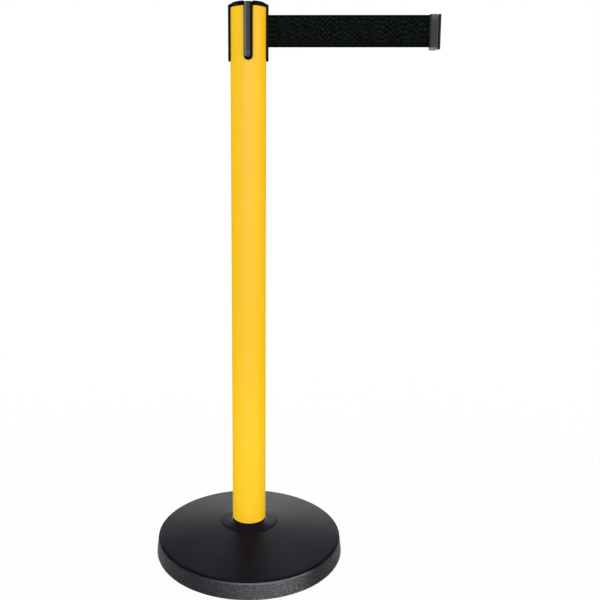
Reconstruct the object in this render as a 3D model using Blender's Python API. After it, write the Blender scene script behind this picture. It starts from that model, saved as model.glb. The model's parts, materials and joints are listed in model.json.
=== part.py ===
"""Retractable-belt barrier post: a yellow tube on a weighted round base, with a four-way belt head.

Metres, +Z up. The origin is the centre of the base on the floor, and the belt runs out along +X.
"""

import math

import bmesh
import bpy
import numpy as np
from mathutils import Matrix, Vector

MM = 0.001

# Clearances
GAP = 0.3 * MM  # between pieces that seat on each other
RUNNING_GAP = 0.7 * MM  # between turning and fixed faces
OVERCUT = 1.0 * MM  # how far a cutter runs past the wall

# Post
OVERALL_HEIGHT = 1023.0 * MM
TUBE_RADIUS = 31.75 * MM
TUBE_WALL = 2.5 * MM

# Base
BASE_RADIUS = 179.0 * MM
RIM_HEIGHT = 30.4 * MM
RIM_WALL = 8.8 * MM  # at its foot
RIM_DRAFT = 3.0 * MM  # how far the rim leans in from foot to top
RIM_EDGE = 1.3 * MM  # round of its upper edge
RIM_FOOT_EDGE = 2.4 * MM  # round of its lower edge
RIM_LIP = 1.9 * MM  # width of the lip that stands outside the groove
RIM_GROOVE = 2.2 * MM  # depth of the groove that the cover's edge sits in
FOOT_WIDTH = 31.0 * MM  # rim's flange under the weight
FOOT_THICKNESS = 2.6 * MM
COVER_SETBACK = 7.1 * MM  # the cover's edge stands this far inside the rim's foot
COVER_WALL = 2.5 * MM
COVER_EDGE = 2.4 * MM  # round of the cover's outer edge
HUB_HEIGHT = 63.6 * MM  # where the tube stands
HUB_GROOVE = 3.2 * MM  # width of the groove round the tube's foot
HUB_GROOVE_DEPTH = 2.2 * MM
HUB_UNDERCUT = 0.5 * MM  # how far the groove runs in under the tube
COLLAR_REACH = 23.5 * MM  # of the raised collar outside the tube
COLLAR_RISE = 6.6 * MM  # from the cone to where the tube stands
COLLAR_STEP = 1.7 * MM  # edge of the collar above the cone
COLLAR_EDGE = 0.5 * MM  # bevel of its inner edge
HUB_PLATE = 4.0 * MM
HUB_WEB = 2.2 * MM  # how far the hub's underside stays inside its top
WEIGHT_THICKNESS = 11.0 * MM
WEIGHT_LIP_WIDTH = 14.0 * MM
WEIGHT_LIP_RISE = 7.0 * MM
WEIGHT_CLEARANCE = 1.0 * MM
WEIGHT_HUB_RADIUS = 27.0 * MM

# Base bolt and tube plug
BOLT_RADIUS = 5.0 * MM
BOLT_HEAD_FLATS = 17.0 * MM
BOLT_HEAD_HEIGHT = 7.0 * MM
BOLT_REACH = 26.0 * MM  # into the plug
WASHER_OVERHANG = 5.5 * MM
WASHER_THICKNESS = 2.0 * MM
INSERT_WALL = 3.0 * MM
INSERT_LENGTH = 28.0 * MM
PLUG_SHELF = 4.0 * MM
PLUG_FLOOR = 12.0 * MM
PLUG_WALL = 3.5 * MM
PLUG_BOSS_WALL = 3.5 * MM
PLUG_LENGTH = 42.0 * MM

# Channels of the head
CHANNEL_WIDTH = 15.1 * MM
CHANNEL_PROUD = 3.8 * MM  # beyond the tube
LIP_THICKNESS = 3.2 * MM
LIP_LAND = 0.9 * MM
LIP_EDGE = 0.8 * MM
LIP_GAP = 6.4 * MM
CAVITY_WIDTH = 10.6 * MM
CAVITY_DEPTH = 6.8 * MM
BACK_WALL = 1.8 * MM
WING = 2.9 * MM  # side wing behind the tube wall
CHANNEL_TOP_DROP = 3.4 * MM  # outer top edge under the cap's top
CHANNEL_EDGE = 1.6 * MM
CROWN_SLOPE = 60  # degrees, where the outer edge's round meets the crown

# Cap and cassette
CAP_BAND = 8.2 * MM
CAP_SETBACK = 1.4 * MM
CAP_EDGE = 1.6 * MM
CAP_SPIGOT = 4.4 * MM
CAP_WALL = 3.4 * MM
CAP_FUNNEL = 4.4 * MM  # how much wider a notch opens at the cap's edge
LID_THICKNESS = 3.2 * MM
PLATE_THICKNESS = 3.5 * MM
LUG_THICKNESS = 1.8 * MM
LUG_HEIGHT = 18.0 * MM
PILLAR_WALL = 6.0 * MM

# Spool, spindle and spring
SPINDLE_RADIUS = 3.0 * MM
SPINDLE_NUT_FLATS = 10.0 * MM
SPINDLE_NUT_HEIGHT = 5.0 * MM
BUSH_WALL = 1.4 * MM
BUSH_LENGTH = 8.0 * MM
DRUM_WALL = 2.6 * MM
FLANGE_THICKNESS = 1.5 * MM
BARREL_HEIGHT = 21.3 * MM
BARREL_WALL = 1.6 * MM
ARBOR_WALL = 2.0 * MM
SPRING_WIDTH = 15.0 * MM
SPRING_THICKNESS = 0.35 * MM
SPRING_PITCH = 1.7 * MM

# Belt
BELT_WIDTH = 55.0 * MM
BELT_THICKNESS = 0.55 * MM
BELT_SIDE_CLEARANCE = 1.2 * MM
BELT_OUT = 283.0 * MM  # from the exit's face to the clip
ROLL_PITCH = 1.4 * MM
GUIDE_PIN_RADIUS = 1.6 * MM

# Belt clip
CLIP_SLEEVE_LENGTH = 12.1 * MM
CLIP_SLEEVE_THICKNESS = 8.0 * MM
CLIP_NECK_LENGTH = 3.3 * MM
CLIP_NECK_THICKNESS = 4.8 * MM
CLIP_NOSE_LENGTH = 4.1 * MM
CLIP_NOSE_THICKNESS = 9.2 * MM
CLIP_NOSE_ROUND = 1.3 * MM
CLIP_OVER = 1.0 * MM  # above the belt
CLIP_UNDER = 3.6 * MM  # below the belt
CLIP_TAB_DROP = 2.1 * MM
CLIP_TAB_THICKNESS = 2.6 * MM
CLIP_ROD_RADIUS = 0.85 * MM
CLIP_ROD_INSET = 4.6 * MM

# Screws
SCREW_RADIUS = 1.25 * MM
SCREW_HEAD_RADIUS = 2.4 * MM
SCREW_HEAD_HEIGHT = 1.5 * MM
LID_SCREW_LENGTH = 9.0 * MM
CLIP_SCREW_SPREAD = 40.0 * MM

# Facets
BASE_STEPS = 72
TUBE_STEPS = 48
DRUM_STEPS = 32
SMALL_STEPS = 16
SCREW_STEPS = 12
ARC_STEPS = 6
EDGE_STEPS = 4  # of a small edge's round
LOOP_STEPS = 24  # of one loop of a winding
SHARP_ANGLE = math.radians(35)
MERGE = 1e-4 * MM

# Heights that follow, from the cap down
CAP_UNDER = OVERALL_HEIGHT - CAP_BAND
TUBE_TOP = CAP_UNDER - GAP
LID_TOP = CAP_UNDER - CAP_SPIGOT - GAP
LID_UNDER = LID_TOP - LID_THICKNESS
SPOOL_TOP = LID_UNDER - RUNNING_GAP
BELT_TOP = SPOOL_TOP - FLANGE_THICKNESS - BELT_SIDE_CLEARANCE
BELT_LOW = BELT_TOP - BELT_WIDTH
BELT_MIDDLE = (BELT_TOP + BELT_LOW) / 2
DRUM_LOW = BELT_LOW - BELT_SIDE_CLEARANCE - FLANGE_THICKNESS
BARREL_TOP = DRUM_LOW - GAP
BARREL_LOW = BARREL_TOP - BARREL_HEIGHT
PLATE_TOP = BARREL_LOW - RUNNING_GAP
PLATE_LOW = PLATE_TOP - PLATE_THICKNESS
CHANNEL_LOW = PLATE_TOP + GAP
CLIP_TOP = BELT_TOP + CLIP_OVER
CLIP_LOW = BELT_LOW - CLIP_UNDER
CHANNEL_FLOOR = CLIP_LOW - GAP
TUBE_LOW = HUB_HEIGHT + GAP

# Radii and reaches that follow, from the tube in
TUBE_BORE = TUBE_RADIUS - TUBE_WALL
INSIDE_RADIUS = TUBE_BORE - GAP
CAP_RADIUS = TUBE_RADIUS - CAP_SETBACK
CHANNEL_FACE = TUBE_RADIUS + CHANNEL_PROUD
CAVITY_FACE = CHANNEL_FACE - LIP_THICKNESS
CAVITY_BACK = CAVITY_FACE - CAVITY_DEPTH
CHANNEL_BACK = CAVITY_BACK - BACK_WALL
CHANNEL_HALF = CHANNEL_WIDTH / 2
WING_HALF = CHANNEL_HALF + WING
LUG_FACE = CHANNEL_BACK - GAP
LUG_BACK = LUG_FACE - LUG_THICKNESS
SPOOL_RADIUS = LUG_BACK - RUNNING_GAP
BUSH_BORE = SPINDLE_RADIUS + GAP
BUSH_RADIUS = BUSH_BORE + BUSH_WALL
DRUM_BORE = BUSH_RADIUS + GAP
DRUM_RADIUS = DRUM_BORE + DRUM_WALL
ROLL_RADIUS = SPOOL_RADIUS - GAP - BELT_THICKNESS / 2
SCREW_HOLE = SCREW_RADIUS + GAP
SCREW_SINK = SCREW_HEAD_RADIUS + GAP
CLIP_START = CHANNEL_FACE + BELT_OUT
SCREW_HEIGHT = CHANNEL_LOW + CHANNEL_HALF + (CHANNEL_FLOOR - CHANNEL_LOW - CHANNEL_HALF) / 3

# Where the belt leaves the roll and turns round the pin at the back of the exit
PIN_OFFSET = GUIDE_PIN_RADIUS + GAP + BELT_THICKNESS / 2
PIN_REACH = CHANNEL_BACK + GAP + GUIDE_PIN_RADIUS
PIN_BEARING = math.atan2(PIN_OFFSET, PIN_REACH)
PIN_DISTANCE = math.hypot(PIN_REACH, PIN_OFFSET)
LEAVE_ANGLE = PIN_BEARING + math.acos((ROLL_RADIUS + PIN_OFFSET) / PIN_DISTANCE)
EXIT_HALF = PIN_OFFSET + GUIDE_PIN_RADIUS + GAP

SIDES = {"exit": 0.0, "back": math.pi / 2, "left": math.pi, "front": -math.pi / 2}
QUARTERS = [math.pi / 4 + n * math.pi / 2 for n in range(4)]


def clear_scene():
    for obj in list(bpy.data.objects):
        bpy.data.objects.remove(obj, do_unlink=True)


def finish(name, colour, roughness, metallic=0.0):
    material = bpy.data.materials.new(name)
    material.use_nodes = True
    shader = material.node_tree.nodes["Principled BSDF"]
    shader.inputs["Base Color"].default_value = (*colour, 1.0)
    shader.inputs["Roughness"].default_value = roughness
    shader.inputs["Metallic"].default_value = metallic
    return material


def arc(centre, radius, start, end, steps=ARC_STEPS):
    """Points along a round, from one angle to another, both in degrees."""
    angles = [math.radians(start + (end - start) * n / steps) for n in range(steps + 1)]
    return [(centre[0] + radius * math.cos(a), centre[1] + radius * math.sin(a)) for a in angles]


def mesh_from(bm, name):
    bmesh.ops.recalc_face_normals(bm, faces=bm.faces)
    mesh = bpy.data.meshes.new(name)
    bm.to_mesh(mesh)
    bm.free()
    mesh.shade_smooth()
    mesh.set_sharp_from_angle(angle=SHARP_ANGLE)
    return mesh


def place(name, mesh, material=None, parent=None):
    obj = bpy.data.objects.new(name, mesh)
    bpy.context.scene.collection.objects.link(obj)
    obj.parent = parent
    if material:
        mesh.materials.clear()
        mesh.materials.append(material)
    return obj


def helper(obj):
    obj.hide_render = True
    obj.display_type = "WIRE"
    return obj


def turned(name, outline, steps):
    """A solid turned round Z from a closed outline of (radius, height) points."""
    bm = bmesh.new()
    points = [bm.verts.new((radius, 0.0, height)) for radius, height in outline]
    edges = [bm.edges.new(pair) for pair in zip(points, points[1:] + points[:1])]
    bmesh.ops.spin(
        bm, geom=points + edges, axis=(0, 0, 1), cent=(0, 0, 0),
        angle=2 * math.pi, steps=steps, use_merge=True, use_duplicate=False,
    )
    bmesh.ops.remove_doubles(bm, verts=bm.verts, dist=MERGE)
    loose = [edge for edge in bm.edges if not edge.link_faces]
    bmesh.ops.delete(bm, geom=loose, context="EDGES")
    return mesh_from(bm, name)


def turned_piece(name, outline, steps, material):
    return place(name, turned(name, outline, steps), material)


def ring(inner, outer, low, high):
    return [(inner, low), (outer, low), (outer, high), (inner, high)]


def extruded(name, outline, low, high, along="Z"):
    """A prism from a closed outline. Along Z the outline is (x, y), along X (y, z) and along Y (x, z)."""
    spread = {
        "Z": lambda a, b: Vector((a, b, low)),
        "X": lambda a, b: Vector((low, a, b)),
        "Y": lambda a, b: Vector((a, low, b)),
    }[along]
    way = {"Z": Vector((0, 0, 1)), "X": Vector((1, 0, 0)), "Y": Vector((0, 1, 0))}[along]
    bm = bmesh.new()
    face = bm.faces.new([bm.verts.new(spread(a, b)) for a, b in outline])
    grown = bmesh.ops.extrude_face_region(bm, geom=[face])["geom"]
    moved = [item for item in grown if isinstance(item, bmesh.types.BMVert)]
    bmesh.ops.translate(bm, verts=moved, vec=way * (high - low))
    return mesh_from(bm, name)


def lofted(name, rings):
    """A solid through rings of equal point counts, closed at both ends."""
    bm = bmesh.new()
    loops = [[bm.verts.new(point) for point in points] for points in rings]
    bm.faces.new(loops[0])
    bm.faces.new(loops[-1])
    for first, second in zip(loops, loops[1:]):
        for n in range(len(first)):
            m = (n + 1) % len(first)
            bm.faces.new((first[n], first[m], second[m], second[n]))
    return mesh_from(bm, name)


def box(low, high):
    return [(low[0], low[1]), (high[0], low[1]), (high[0], high[1]), (low[0], high[1])]


def circle(centre, radius, steps=SMALL_STEPS):
    return arc(centre, radius, 0, 360 * (steps - 1) / steps, steps - 1)


def hexagon(flats):
    return circle((0.0, 0.0), flats / math.sqrt(3), 6)


def boolean(target, mesh, operation, turn=0.0):
    """Cut, join or meet the target with a hidden tool, turned about Z."""
    tool = helper(place(f"{target.name}_{operation.lower()}_tool", mesh))
    tool.rotation_euler.z = turn
    modifier = target.modifiers.new(operation.title(), "BOOLEAN")
    modifier.operation = operation
    modifier.solver = "EXACT"
    modifier.object = tool


def settled(obj):
    """The mesh with its modifiers applied, for pieces that share it. Removes the object and its tools."""
    bpy.context.view_layer.update()
    graph = bpy.context.evaluated_depsgraph_get()
    mesh = bpy.data.meshes.new_from_object(obj.evaluated_get(graph))
    for modifier in obj.modifiers:
        bpy.data.objects.remove(modifier.object, do_unlink=True)
    bpy.data.objects.remove(obj, do_unlink=True)
    mesh.shade_smooth()
    mesh.set_sharp_from_angle(angle=SHARP_ANGLE)
    return mesh


def ribbon(name, centre_line, thickness, low, high):
    """A flat strip that stands on edge along a line of (x, y) points. Also gives its two faces' points."""
    line = np.array(centre_line)
    tangents = np.gradient(line, axis=0)
    tangents /= np.linalg.norm(tangents, axis=1)[:, None]
    sideways = np.stack([-tangents[:, 1], tangents[:, 0]], axis=1) * thickness / 2
    left = line + sideways
    right = line - sideways
    sections = []
    for (lx, ly), (rx, ry) in zip(left, right):
        sections.append([(lx, ly, low), (rx, ry, low), (rx, ry, high), (lx, ly, high)])
    return lofted(name, sections), left, right


def report_least_gap(name, left, right):
    """Print the least gap between one loop's face and the next loop's, measured on the points."""
    numbers = np.arange(len(left))
    apart = np.linalg.norm(left[:, None] - right[None], axis=2)
    apart[np.abs(numbers[:, None] - numbers[None]) < LOOP_STEPS // 2] = np.inf
    print(f"{name}: {len(left)} points, least gap to itself {apart.min() / MM:.2f} mm")


def spiral(outer, inner, pitch, end_angle):
    """Points of a flat spiral from its outer end inwards, as many whole loops as fit."""
    loops = int((outer - inner) / pitch)
    turns = [n / LOOP_STEPS for n in range(loops * LOOP_STEPS + 1)]
    points = []
    for turn in turns:
        angle = end_angle + 2 * math.pi * turn
        radius = outer - pitch * turn
        points.append((radius * math.cos(angle), radius * math.sin(angle)))
    return points


def make_base(rubber, cover_plastic, iron, steel):
    weight_low = FOOT_THICKNESS + GAP
    skirt_radius = BASE_RADIUS - RIM_WALL - GAP
    weight_radius = skirt_radius - COVER_WALL - WEIGHT_CLEARANCE
    hole = BOLT_RADIUS + GAP

    pad = ring(0.0, BASE_RADIUS - FOOT_WIDTH - GAP, 0.0, FOOT_THICKNESS)
    turned_piece("floor_pad", pad, TUBE_STEPS, rubber)

    top_edge = (BASE_RADIUS - RIM_DRAFT - RIM_EDGE, RIM_HEIGHT - RIM_EDGE)
    lip_radius = BASE_RADIUS - RIM_DRAFT - RIM_LIP
    groove_floor = RIM_HEIGHT - RIM_GROOVE
    rim = [(BASE_RADIUS - FOOT_WIDTH, 0.0)]
    rim += arc((BASE_RADIUS - RIM_FOOT_EDGE, RIM_FOOT_EDGE), RIM_FOOT_EDGE, -90, 0, EDGE_STEPS)
    rim += arc(top_edge, RIM_EDGE, 0, 90, EDGE_STEPS)
    rim += [(lip_radius, RIM_HEIGHT), (lip_radius, groove_floor)]
    rim += [(BASE_RADIUS - RIM_WALL, groove_floor), (BASE_RADIUS - RIM_WALL, FOOT_THICKNESS)]
    rim += [(BASE_RADIUS - FOOT_WIDTH, FOOT_THICKNESS)]
    turned_piece("base_rim", rim, BASE_STEPS, rubber)

    washer_radius = BOLT_RADIUS + WASHER_OVERHANG
    pocket_radius = max(washer_radius, BOLT_HEAD_FLATS / math.sqrt(3)) + WEIGHT_CLEARANCE
    head_low = weight_low + WEIGHT_CLEARANCE
    head_top = head_low + BOLT_HEAD_HEIGHT
    washer_top = head_top + GAP + WASHER_THICKNESS
    pocket_top = washer_top + GAP
    plate_top = weight_low + WEIGHT_THICKNESS
    hub_top = HUB_HEIGHT - HUB_PLATE - GAP
    weight = [
        (hole, pocket_top), (pocket_radius, pocket_top), (pocket_radius, weight_low),
        (weight_radius, weight_low), (weight_radius, plate_top + WEIGHT_LIP_RISE),
        (weight_radius - WEIGHT_LIP_WIDTH, plate_top + WEIGHT_LIP_RISE),
        (weight_radius - WEIGHT_LIP_WIDTH - WEIGHT_LIP_RISE, plate_top),
        (WEIGHT_HUB_RADIUS + WEIGHT_LIP_RISE, plate_top), (WEIGHT_HUB_RADIUS, plate_top + WEIGHT_LIP_RISE),
        (WEIGHT_HUB_RADIUS, hub_top), (hole, hub_top),
    ]
    turned_piece("base_weight", weight, TUBE_STEPS, iron)

    edge_radius = BASE_RADIUS - COVER_SETBACK
    edge_turn = RIM_HEIGHT + GAP
    edge_low = groove_floor + GAP
    foot = (TUBE_RADIUS + COLLAR_REACH, HUB_HEIGHT - COLLAR_RISE)
    groove_in = TUBE_RADIUS - HUB_UNDERCUT
    groove_out = TUBE_RADIUS + HUB_GROOVE
    groove_low = HUB_HEIGHT - HUB_GROOVE_DEPTH
    inner_skirt = skirt_radius - COVER_WALL
    slope = (foot[1] - edge_turn - COVER_EDGE) / (edge_radius - COVER_EDGE - foot[0])
    cone_at_skirt = foot[1] - slope * (inner_skirt - foot[0])
    cover = [(hole, HUB_HEIGHT), (groove_in, HUB_HEIGHT), (groove_in, groove_low), (groove_out, groove_low)]
    cover += [(groove_out, HUB_HEIGHT - COLLAR_EDGE), (groove_out + COLLAR_EDGE, HUB_HEIGHT)]
    cover += [(foot[0] - COLLAR_STEP, foot[1] + COLLAR_STEP), foot]
    cover += arc((edge_radius - COVER_EDGE, edge_turn), COVER_EDGE, 90, 0, EDGE_STEPS)
    cover += [(edge_radius, edge_low), (skirt_radius, edge_low), (skirt_radius, weight_low)]
    cover += [(inner_skirt, weight_low), (inner_skirt, cone_at_skirt - COVER_WALL)]
    cover += [(foot[0] - HUB_WEB, foot[1] - COVER_WALL), (TUBE_RADIUS - HUB_WEB, HUB_HEIGHT - HUB_PLATE)]
    cover += [(hole, HUB_HEIGHT - HUB_PLATE)]
    turned_piece("base_cover", cover, BASE_STEPS, cover_plastic)

    shank = ring(0.0, BOLT_RADIUS, head_low, TUBE_LOW + BOLT_REACH)
    bolt = turned_piece("base_bolt", shank, SMALL_STEPS, steel)
    boolean(bolt, extruded("bolt_head", hexagon(BOLT_HEAD_FLATS), head_low, head_top), "UNION")
    washer = ring(hole, washer_radius, head_top + GAP, washer_top)
    turned_piece("bolt_washer", washer, SMALL_STEPS, steel)


def make_post(yellow, black, steel):
    wall = ring(TUBE_BORE, TUBE_RADIUS, TUBE_LOW, TUBE_TOP)
    tube = turned_piece("post_tube", wall, TUBE_STEPS, yellow)
    slot = channel_outline(CHANNEL_HALF + GAP, TUBE_TOP + OVERCUT)
    reach = TUBE_RADIUS + OVERCUT
    for turn in (0.0, math.pi / 2):
        boolean(tube, extruded("tube_slot", slot, -reach, reach, "X"), "DIFFERENCE", turn)

    hole = BOLT_RADIUS + GAP
    insert_radius = hole + INSERT_WALL
    shelf = TUBE_LOW + PLUG_SHELF
    insert_low = shelf + GAP
    insert_top = insert_low + INSERT_LENGTH
    boss_radius = insert_radius + GAP + PLUG_BOSS_WALL
    cup_radius = INSIDE_RADIUS - PLUG_WALL
    plug = [
        (hole, TUBE_LOW), (INSIDE_RADIUS, TUBE_LOW), (INSIDE_RADIUS, TUBE_LOW + PLUG_LENGTH),
        (cup_radius, TUBE_LOW + PLUG_LENGTH), (cup_radius, TUBE_LOW + PLUG_FLOOR),
        (boss_radius, TUBE_LOW + PLUG_FLOOR), (boss_radius, insert_top),
        (insert_radius + GAP, insert_top), (insert_radius + GAP, shelf), (hole, shelf),
    ]
    turned_piece("tube_plug", plug, DRUM_STEPS, black)
    insert = ring(hole, insert_radius, insert_low, insert_top)
    turned_piece("plug_insert", insert, SMALL_STEPS, steel)


def channel_outline(half, top):
    """A U of the given half width, round at its foot, as (across, height) points."""
    centre = (0.0, CHANNEL_LOW + CHANNEL_HALF)
    return [*arc(centre, half, 180, 360, 2 * ARC_STEPS), (half, top), (-half, top)]


def make_channel(name, floor, ceiling, open_back):
    """One channel of the head, facing +X: a U-shaped body with lips, a cavity and side wings."""
    top = OVERALL_HEIGHT + OVERCUT
    crown = CAP_RADIUS - CHANNEL_EDGE
    edge_x = CHANNEL_FACE - CHANNEL_EDGE
    low_edge = (edge_x, CHANNEL_LOW + CHANNEL_EDGE)
    top_edge = (edge_x, OVERALL_HEIGHT - CHANNEL_TOP_DROP - CHANNEL_EDGE)
    profile = [(CHANNEL_BACK, CHANNEL_LOW - OVERCUT), (edge_x, CHANNEL_LOW - OVERCUT)]
    profile += arc(low_edge, CHANNEL_EDGE, -90, 0, EDGE_STEPS)
    profile += arc(top_edge, CHANNEL_EDGE, 0, CROWN_SLOPE, EDGE_STEPS)
    profile += [(crown, OVERALL_HEIGHT - CAP_EDGE / 2), (CHANNEL_BACK, OVERALL_HEIGHT - CAP_EDGE / 2)]
    body = place(name, extruded(name, profile, -CHANNEL_HALF, CHANNEL_HALF, "Y"))
    shell = channel_outline(CHANNEL_HALF, top)
    behind = CHANNEL_BACK - OVERCUT
    boolean(body, extruded("shell", shell, behind, CHANNEL_FACE + OVERCUT, "X"), "INTERSECT")

    wing_face = math.sqrt(TUBE_BORE**2 - WING_HALF**2) - GAP
    wing = box((-WING_HALF, CHANNEL_LOW + CHANNEL_HALF), (WING_HALF, LID_UNDER - GAP))
    boolean(body, extruded("wing", wing, CHANNEL_BACK, wing_face, "X"), "UNION")

    cavity = box((-CAVITY_WIDTH / 2, floor), (CAVITY_WIDTH / 2, ceiling))
    boolean(body, extruded("cavity", cavity, CAVITY_BACK, CAVITY_FACE, "X"), "DIFFERENCE")
    flank = CHANNEL_HALF - LIP_EDGE
    spread = (flank - LIP_GAP / 2) / (LIP_THICKNESS - LIP_LAND)
    mouth = [
        (CAVITY_FACE - GAP, LIP_GAP / 2),
        (CAVITY_FACE + LIP_LAND, LIP_GAP / 2),
        (CHANNEL_FACE + OVERCUT, flank + spread * OVERCUT),
    ]
    rings = [[(x, y, z) for y, z in channel_outline(half, top)] for x, half in mouth]
    boolean(body, lofted("mouth", rings), "DIFFERENCE")

    screw_axis = circle((0.0, SCREW_HEIGHT), SCREW_HOLE, SCREW_STEPS)
    boolean(body, extruded("screw_hole", screw_axis, behind, CHANNEL_FACE, "X"), "DIFFERENCE")
    if open_back:
        back = box((-EXIT_HALF, floor), (EXIT_HALF, ceiling))
        boolean(body, extruded("belt_way", back, behind, CAVITY_BACK + GAP, "X"), "DIFFERENCE")
    return settled(body)


def make_channels(black, steel):
    over_top = OVERALL_HEIGHT + OVERCUT
    receiver = make_channel("receiver", CHANNEL_FLOOR, over_top, False)
    way_low = BELT_LOW - BELT_SIDE_CLEARANCE
    way_top = BELT_TOP + BELT_SIDE_CLEARANCE
    exit_mesh = make_channel("exit", way_low, way_top, True)
    groove_floor = CAVITY_FACE - GAP
    screw = make_screw("channel_screw", groove_floor - LUG_BACK - GAP)
    lying = Matrix.Translation((groove_floor, 0.0, SCREW_HEIGHT)) @ Matrix.Rotation(math.pi / 2, 4, "Y")
    screw.transform(lying)
    for side, turn in SIDES.items():
        name = "belt_exit" if side == "exit" else f"receiver_{side}"
        channel = place(name, exit_mesh if side == "exit" else receiver, black)
        channel.rotation_euler.z = turn
        fixing = place(f"receiver_screw_{side}", screw, steel)
        fixing.rotation_euler.z = turn

    pin = turned("guide_pin", ring(0.0, GUIDE_PIN_RADIUS, way_low + GAP, way_top - GAP), SMALL_STEPS)
    for side, offset in (("back", PIN_OFFSET), ("front", -PIN_OFFSET)):
        place(f"guide_pin_{side}", pin, steel).location = (PIN_REACH, offset, 0.0)


def make_screw(name, length):
    """A pan-head screw whose head sits on Z = 0, with its shank down to -length."""
    outline = [(0.0, -length), (SCREW_RADIUS, -length), (SCREW_RADIUS, GAP)]
    outline += [(SCREW_HEAD_RADIUS, GAP), (SCREW_HEAD_RADIUS, GAP + SCREW_HEAD_HEIGHT / 2)]
    outline += [(SCREW_RADIUS, GAP + SCREW_HEAD_HEIGHT), (0.0, GAP + SCREW_HEAD_HEIGHT)]
    return turned(name, outline, SCREW_STEPS)


def make_cassette(black, steel):
    plate = ring(BUSH_BORE, INSIDE_RADIUS, PLATE_LOW, PLATE_TOP)
    frame = turned_piece("cassette_frame", plate, TUBE_STEPS, black)
    lug = box((LUG_BACK, -CAVITY_WIDTH / 2), (LUG_FACE, CAVITY_WIDTH / 2))
    lug_mesh = extruded("lug", lug, PLATE_TOP - GAP, PLATE_TOP + LUG_HEIGHT)
    lug_axis = circle((0.0, SCREW_HEIGHT), SCREW_HOLE, SCREW_STEPS)
    lug_hole = extruded("lug_hole", lug_axis, LUG_BACK - OVERCUT, LUG_FACE + OVERCUT, "X")
    pillar_inner = INSIDE_RADIUS - PILLAR_WALL
    half_angle = 45 - math.degrees(math.atan2(WING_HALF + RUNNING_GAP, CHANNEL_BACK))
    pillar = arc((0.0, 0.0), INSIDE_RADIUS, 45 - half_angle, 45 + half_angle)
    pillar += arc((0.0, 0.0), pillar_inner, 45 + half_angle, 45 - half_angle)
    pillar_mesh = extruded("pillar", pillar, PLATE_TOP - GAP, LID_UNDER - GAP)
    screw_ring = INSIDE_RADIUS - PILLAR_WALL / 2
    screw_axis = circle((screw_ring, 0.0), SCREW_HOLE, SCREW_STEPS)
    hole_low = LID_UNDER - LID_SCREW_LENGTH - GAP
    pillar_hole = extruded("pillar_hole", screw_axis, hole_low, LID_TOP)
    for turn in SIDES.values():
        boolean(frame, lug_mesh, "UNION", turn)
    for turn in SIDES.values():
        boolean(frame, pillar_mesh, "UNION", turn)
    for turn in SIDES.values():
        boolean(frame, lug_hole, "DIFFERENCE", turn)
    for turn in QUARTERS:
        boolean(frame, pillar_hole, "DIFFERENCE", turn)

    plate = ring(BUSH_BORE, INSIDE_RADIUS, LID_UNDER, LID_TOP)
    lid = turned_piece("cassette_lid", plate, TUBE_STEPS, black)
    below = LID_UNDER - OVERCUT
    above = LID_TOP + OVERCUT
    seat = LID_TOP - SCREW_HEAD_HEIGHT - 2 * GAP
    notch_half = CHANNEL_HALF + GAP
    notch_area = box((CHANNEL_BACK - GAP, -notch_half), (TUBE_RADIUS, notch_half))
    notch = extruded("lid_notch", notch_area, below, above)
    sink = extruded("lid_sink", circle((screw_ring, 0.0), SCREW_SINK, SCREW_STEPS), seat, above)
    hole = extruded("lid_hole", screw_axis, below, LID_TOP)
    for turn in SIDES.values():
        boolean(lid, notch, "DIFFERENCE", turn)
    screw = make_screw("lid_screw", seat - LID_UNDER + LID_SCREW_LENGTH)
    for number, turn in enumerate(QUARTERS, 1):
        boolean(lid, sink, "DIFFERENCE", turn)
        boolean(lid, hole, "DIFFERENCE", turn)
        fixing = place(f"lid_screw_{number}", screw, steel)
        fixing.location = (screw_ring * math.cos(turn), screw_ring * math.sin(turn), seat)

    nut_top = PLATE_LOW - GAP
    nut_low = nut_top - SPINDLE_NUT_HEIGHT
    turned_piece("spindle", ring(0.0, SPINDLE_RADIUS, nut_low, LID_TOP), SMALL_STEPS, steel)
    nut_mesh = extruded("spindle_nut", hexagon(SPINDLE_NUT_FLATS), nut_low, nut_top)
    nut = place("spindle_nut", nut_mesh, steel)
    nut_hole = extruded("nut_hole", circle((0.0, 0.0), BUSH_BORE), nut_low - OVERCUT, nut_top + OVERCUT)
    boolean(nut, nut_hole, "DIFFERENCE")


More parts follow.
